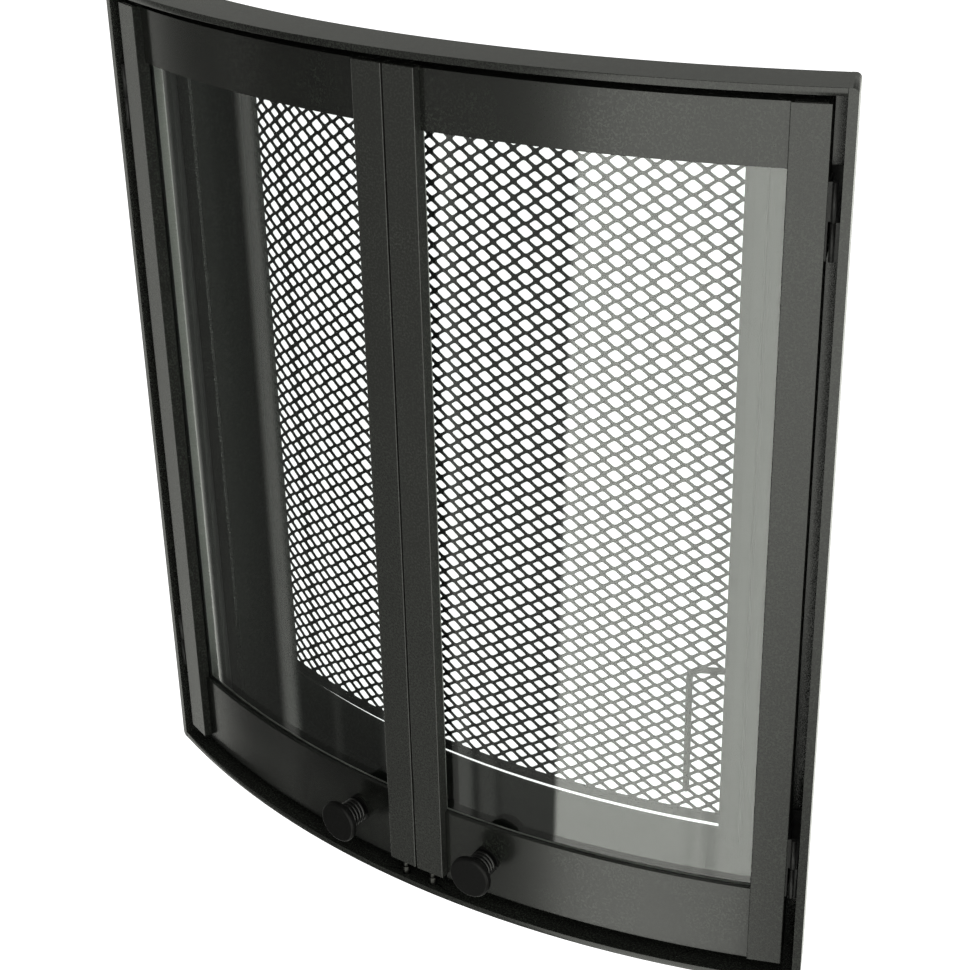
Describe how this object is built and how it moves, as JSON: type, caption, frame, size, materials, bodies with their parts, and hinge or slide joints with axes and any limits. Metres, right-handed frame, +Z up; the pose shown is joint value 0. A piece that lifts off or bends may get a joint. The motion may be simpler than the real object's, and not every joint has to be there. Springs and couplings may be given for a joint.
{
  "type": "fireplace glass door",
  "caption": "Bow-front double glass fireplace door in a steel rim, with spring-neck knobs and a mesh spark screen that lifts",
  "frame": {"origin": "midway between the two hearth anchor holes, on the underside of the sill", "axes": "+X to the viewer's right along the front, +Y to the back into the firebox, +Z up the rim"},
  "size_m": [0.63, 0.1424, 0.68],
  "materials": {
    "paint": "semi-gloss grey-green enamel with fine dark speckle",
    "inner_paint": "satin dark grey enamel",
    "black_steel": "satin black",
    "pin_steel": "plain turned steel",
    "zinc_steel": "zinc-plated sheet steel, dull silver",
    "catch_steel": "polished",
    "screen_steel": "matte dark grey",
    "glass": "clear ceramic glass",
    "tape": "woven glass-fibre tape",
    "seal": "dense glass-fibre rope",
    "knob_black": "semi-gloss black",
    "spring_black": "black coated wire"
  },
  "bodies": {
    "frame": {"rim_top": "paint", "rim_sill": "paint", "rim_left": "paint", "rim_right": "paint", "stop_frame": "paint", "collar_top": "inner_paint", "collar_floor": "inner_paint", "collar_left": "inner_paint", "collar_right": "inner_paint", "surround": "inner_paint", "screen_guides": "inner_paint", "frame_hinges": "black_steel", "hinge_pins": "pin_steel", "catch_barrels": "catch_steel", "left_catch_spring": "catch_steel", "right_catch_spring": "catch_steel"},
    "screen": {"screen_frame": "screen_steel", "screen_mesh": "screen_steel", "screen_handle": "screen_steel"},
    "left_door": {"left_hinge_stile": "paint", "left_centre_stile": "paint", "left_stile_caps": "paint", "left_top_rail": "paint", "left_bottom_rail": "paint", "left_glass": "glass", "left_glass_tape": "tape", "left_retainer": "zinc_steel", "left_retainer_screws": "pin_steel", "left_door_hinges": "black_steel", "left_seal": "seal", "left_knob": "knob_black", "left_knob_spring": "spring_black", "left_knob_bolt": "pin_steel", "left_knob_washer": "knob_black"},
    "right_door": {"right_hinge_stile": "paint", "right_centre_stile": "paint", "right_stile_caps": "paint", "right_top_rail": "paint", "right_bottom_rail": "paint", "right_glass": "glass", "right_glass_tape": "tape", "right_retainer": "zinc_steel", "right_retainer_screws": "pin_steel", "right_door_hinges": "black_steel", "right_seal": "seal", "right_knob": "knob_black", "right_knob_spring": "spring_black", "right_knob_bolt": "pin_steel", "right_knob_washer": "knob_black"},
    "left_catch": {"left_plunger": "catch_steel"},
    "right_catch": {"right_plunger": "catch_steel"}
  },
  "joints": [
    {"name": "left_door_hinge", "type": "hinge", "parent": "frame", "child": "left_door", "pos_m": [-0.30339, -0.00061, 0.35], "axis": [0, 0, -1], "range_deg": [0, 110]},
    {"name": "right_door_hinge", "type": "hinge", "parent": "frame", "child": "right_door", "pos_m": [0.30339, -0.00061, 0.35], "axis": [0, 0, 1], "range_deg": [0, 110]},
    {"name": "left_catch_press", "type": "slide", "parent": "frame", "child": "left_catch", "axis": [0, 0, -1], "range_m": [0, 0.002], "stiffness_N_per_m": 900, "springref_m": -0.001, "deforming": ["left_catch_spring"]},
    {"name": "right_catch_press", "type": "slide", "parent": "frame", "child": "right_catch", "axis": [0, 0, -1], "range_m": [0, 0.002], "stiffness_N_per_m": 900, "springref_m": -0.001, "deforming": ["right_catch_spring"]},
    {"name": "screen_lift", "type": "slide", "parent": "frame", "child": "screen", "axis": [0, 0, 1], "range_m": [0, 0.02]}
  ]
}
